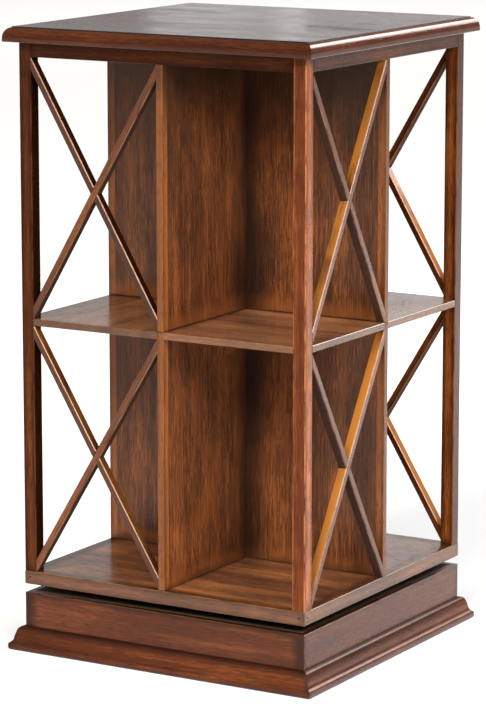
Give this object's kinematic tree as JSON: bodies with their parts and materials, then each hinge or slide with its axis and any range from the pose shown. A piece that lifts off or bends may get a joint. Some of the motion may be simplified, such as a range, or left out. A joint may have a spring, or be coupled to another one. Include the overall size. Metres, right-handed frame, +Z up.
{
  "type": "rotating display rack",
  "caption": "Square two-tier revolving bookcase with crossed partitions and half-width lattice sides, turning on a ball-bearing swivel over a moulded plinth.",
  "frame": {"origin": "on the floor, under the middle of the base", "axes": "+Z up along the turning axis, -Y out of the front side, +X out of the right-hand side, case square with the base at rest"},
  "size_m": [0.506, 0.506, 0.9095],
  "materials": {
    "case_mahogany": "red-brown mahogany, stained and French-polished to a soft gloss",
    "mahogany_veneer": "figured mahogany veneer with dark streaks, lacquered",
    "lattice_mahogany": "red-brown mahogany, lacquered",
    "top_mahogany": "mahogany, polished to a high gloss",
    "plain_wood": "unfinished secondary wood",
    "plated_steel": "zinc-plated pressed steel",
    "ball_steel": "polished bearing steel in a pressed ring",
    "screw_steel": "plated pan-head screws"
  },
  "bodies": {
    "base": {"base_moulding_front": "case_mahogany", "base_moulding_right": "case_mahogany", "base_moulding_back": "case_mahogany", "base_moulding_left": "case_mahogany", "plinth_front": "case_mahogany", "plinth_right": "case_mahogany", "plinth_back": "case_mahogany", "plinth_left": "case_mahogany", "base_deck": "plain_wood", "glue_block_front_left": "plain_wood", "glue_block_front_right": "plain_wood", "glue_block_back_right": "plain_wood", "glue_block_back_left": "plain_wood", "swivel_plate_lower": "plated_steel", "screw_lower_front_left": "screw_steel", "screw_lower_front_right": "screw_steel", "screw_lower_back_right": "screw_steel", "screw_lower_back_left": "screw_steel"},
    "rack": {"swivel_plate_upper": "plated_steel", "screw_upper_front_left": "screw_steel", "screw_upper_front_right": "screw_steel", "screw_upper_back_right": "screw_steel", "screw_upper_back_left": "screw_steel", "bottom_board": "case_mahogany", "post_front_left": "case_mahogany", "post_front_right": "case_mahogany", "post_back_right": "case_mahogany", "post_back_left": "case_mahogany", "partition_across": "mahogany_veneer", "partition_through": "mahogany_veneer", "shelf_front_left": "mahogany_veneer", "shelf_front_right": "mahogany_veneer", "shelf_back_right": "mahogany_veneer", "shelf_back_left": "mahogany_veneer", "apron_front": "case_mahogany", "apron_right": "case_mahogany", "apron_back": "case_mahogany", "apron_left": "case_mahogany", "lattice_front_lower_rising": "lattice_mahogany", "lattice_front_lower_falling": "lattice_mahogany", "lattice_front_upper_rising": "lattice_mahogany", "lattice_front_upper_falling": "lattice_mahogany", "lattice_right_lower_rising": "lattice_mahogany", "lattice_right_lower_falling": "lattice_mahogany", "lattice_right_upper_rising": "lattice_mahogany", "lattice_right_upper_falling": "lattice_mahogany", "lattice_back_lower_rising": "lattice_mahogany", "lattice_back_lower_falling": "lattice_mahogany", "lattice_back_upper_rising": "lattice_mahogany", "lattice_back_upper_falling": "lattice_mahogany", "lattice_left_lower_rising": "lattice_mahogany", "lattice_left_lower_falling": "lattice_mahogany", "lattice_left_upper_rising": "lattice_mahogany", "lattice_left_upper_falling": "lattice_mahogany", "top_panel": "top_mahogany", "top_moulding_front": "top_mahogany", "top_moulding_right": "top_mahogany", "top_moulding_back": "top_mahogany", "top_moulding_left": "top_mahogany"},
    "ball_cage": {"ball_cage": "ball_steel"}
  },
  "joints": [
    {"name": "rack_spin", "type": "hinge", "parent": "base", "child": "rack", "pos_m": [0, 0, 0.0915], "axis": [0, 0, 1], "continuous": true},
    {"name": "cage_spin", "type": "hinge", "parent": "base", "child": "ball_cage", "pos_m": [0, 0, 0.0915], "axis": [0, 0, 1], "continuous": true}
  ],
  "couplings": [
    {"joint": "cage_spin", "follows": "rack_spin", "ratio": 0.5}
  ]
}
